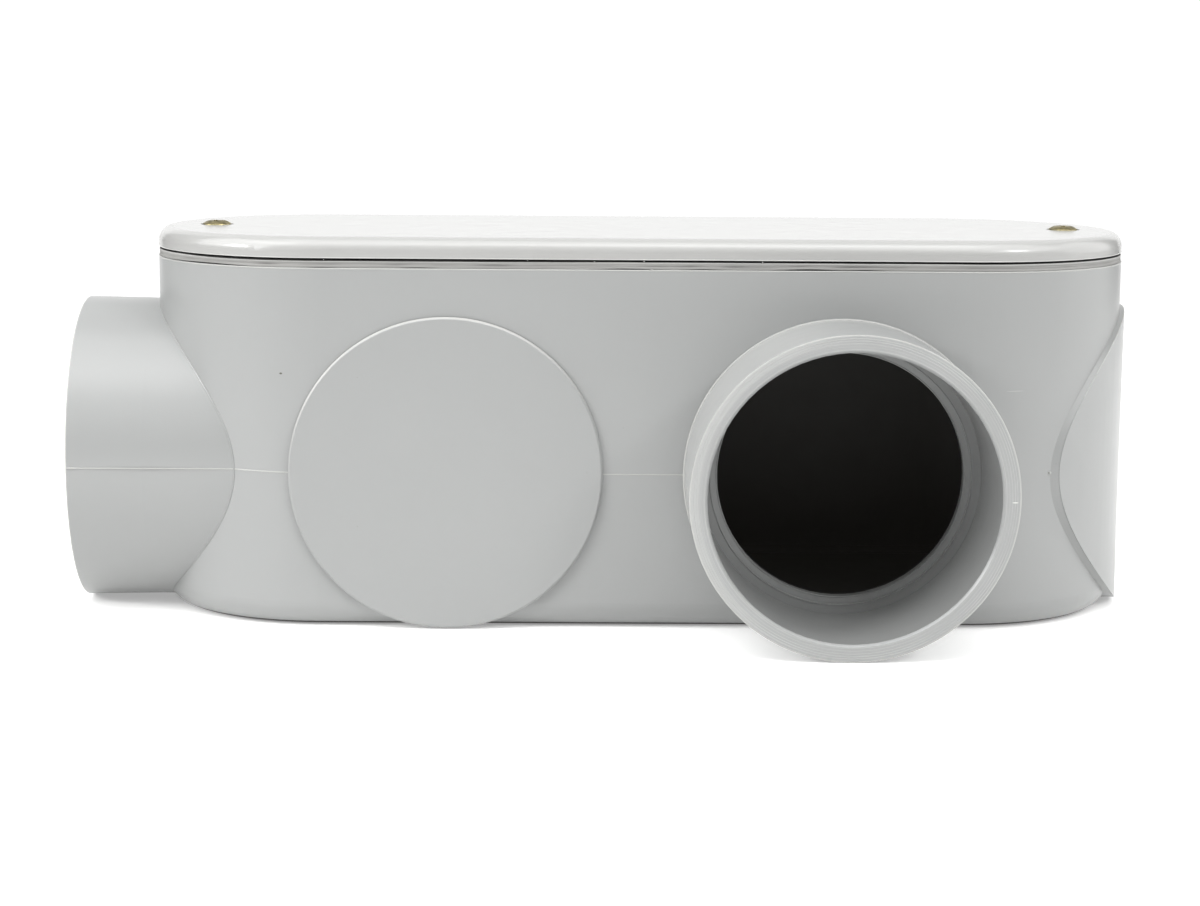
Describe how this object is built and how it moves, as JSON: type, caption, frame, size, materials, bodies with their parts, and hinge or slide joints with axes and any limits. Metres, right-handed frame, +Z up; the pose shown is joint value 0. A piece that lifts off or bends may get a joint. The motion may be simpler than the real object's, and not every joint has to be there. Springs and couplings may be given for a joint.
{
  "type": "conduit body",
  "caption": "Large grey PVC conduit body: oblong access box with a socket on one end, a socket on one long side, gasketed screw-down cover and blank bosses.",
  "frame": {"origin": "centre of the flat base", "axes": "+X along the body towards its blank end, -X out of the end socket, -Y out of the side socket, +Z up through the cover"},
  "size_m": [0.3467, 0.1609, 0.1263],
  "materials": {
    "body_pvc": "moulded grey PVC, fine satin",
    "cover_pvc": "moulded light grey PVC, soft gloss",
    "gasket_rubber": "dull cellular rubber",
    "screw_brass": "plain brass, slightly dull"
  },
  "bodies": {
    "housing": {"body": "body_pvc"},
    "cover": {"cover": "cover_pvc", "gasket": "gasket_rubber"},
    "screw_left": {"screw_left": "screw_brass"},
    "screw_right": {"screw_right": "screw_brass"}
  },
  "joints": [
    {"name": "cover_lift", "type": "slide", "parent": "housing", "child": "cover", "axis": [0, 0, 1], "range_m": [0, 0.06]},
    {"name": "screw_left_out", "type": "slide", "parent": "cover", "child": "screw_left", "axis": [0, 0, 1], "range_m": [0, 0.011]},
    {"name": "screw_right_out", "type": "slide", "parent": "cover", "child": "screw_right", "axis": [0, 0, 1], "range_m": [0, 0.011]}
  ]
}
